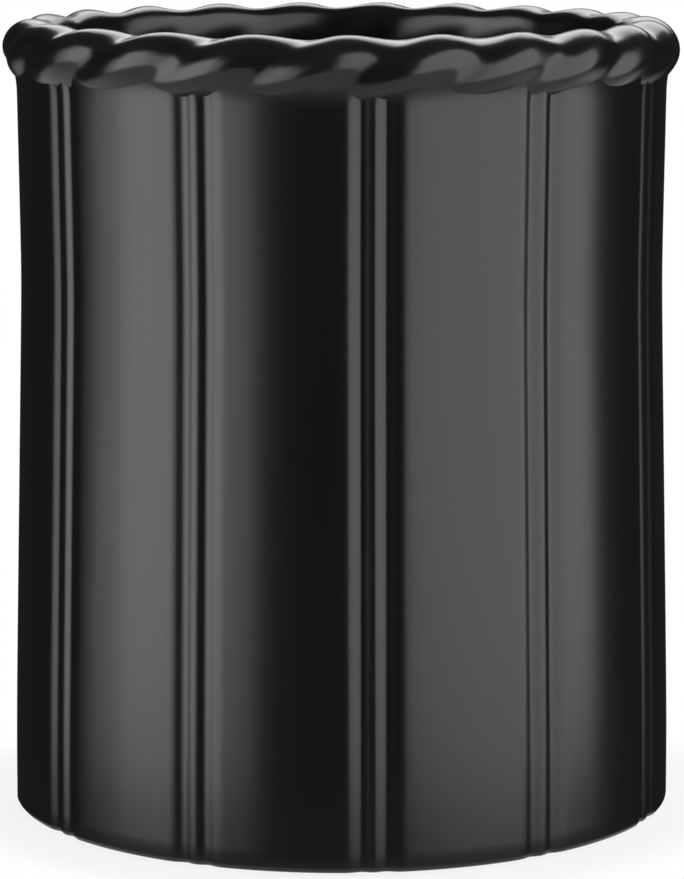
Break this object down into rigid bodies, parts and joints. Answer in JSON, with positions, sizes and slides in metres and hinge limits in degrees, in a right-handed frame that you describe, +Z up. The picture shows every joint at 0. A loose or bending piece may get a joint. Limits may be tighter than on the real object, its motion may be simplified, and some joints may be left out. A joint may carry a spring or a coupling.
{
  "type": "utensil crock",
  "caption": "Tall open-topped ceramic crock with paired upright flutes and a rope-twist rim, for standing kitchen utensils in.",
  "frame": {"origin": "middle of the foot ring's sole, on the table", "axes": "+Z up along the crock's axis, -Y towards the viewer of the picture"},
  "size_m": [0.1518, 0.1506, 0.1781],
  "materials": {
    "black_glaze": "satin black glaze, a little thinner on the crests of the rope and the ridges of the flutes",
    "bare_clay": "unglazed fired clay, wiped clean where the crock stands in the kiln"
  },
  "bodies": {
    "root": {"wall": "black_glaze", "floor": "black_glaze", "foot_ring": "bare_clay", "rope_strand_1": "black_glaze", "rope_strand_2": "black_glaze"}
  },
  "joints": []
}
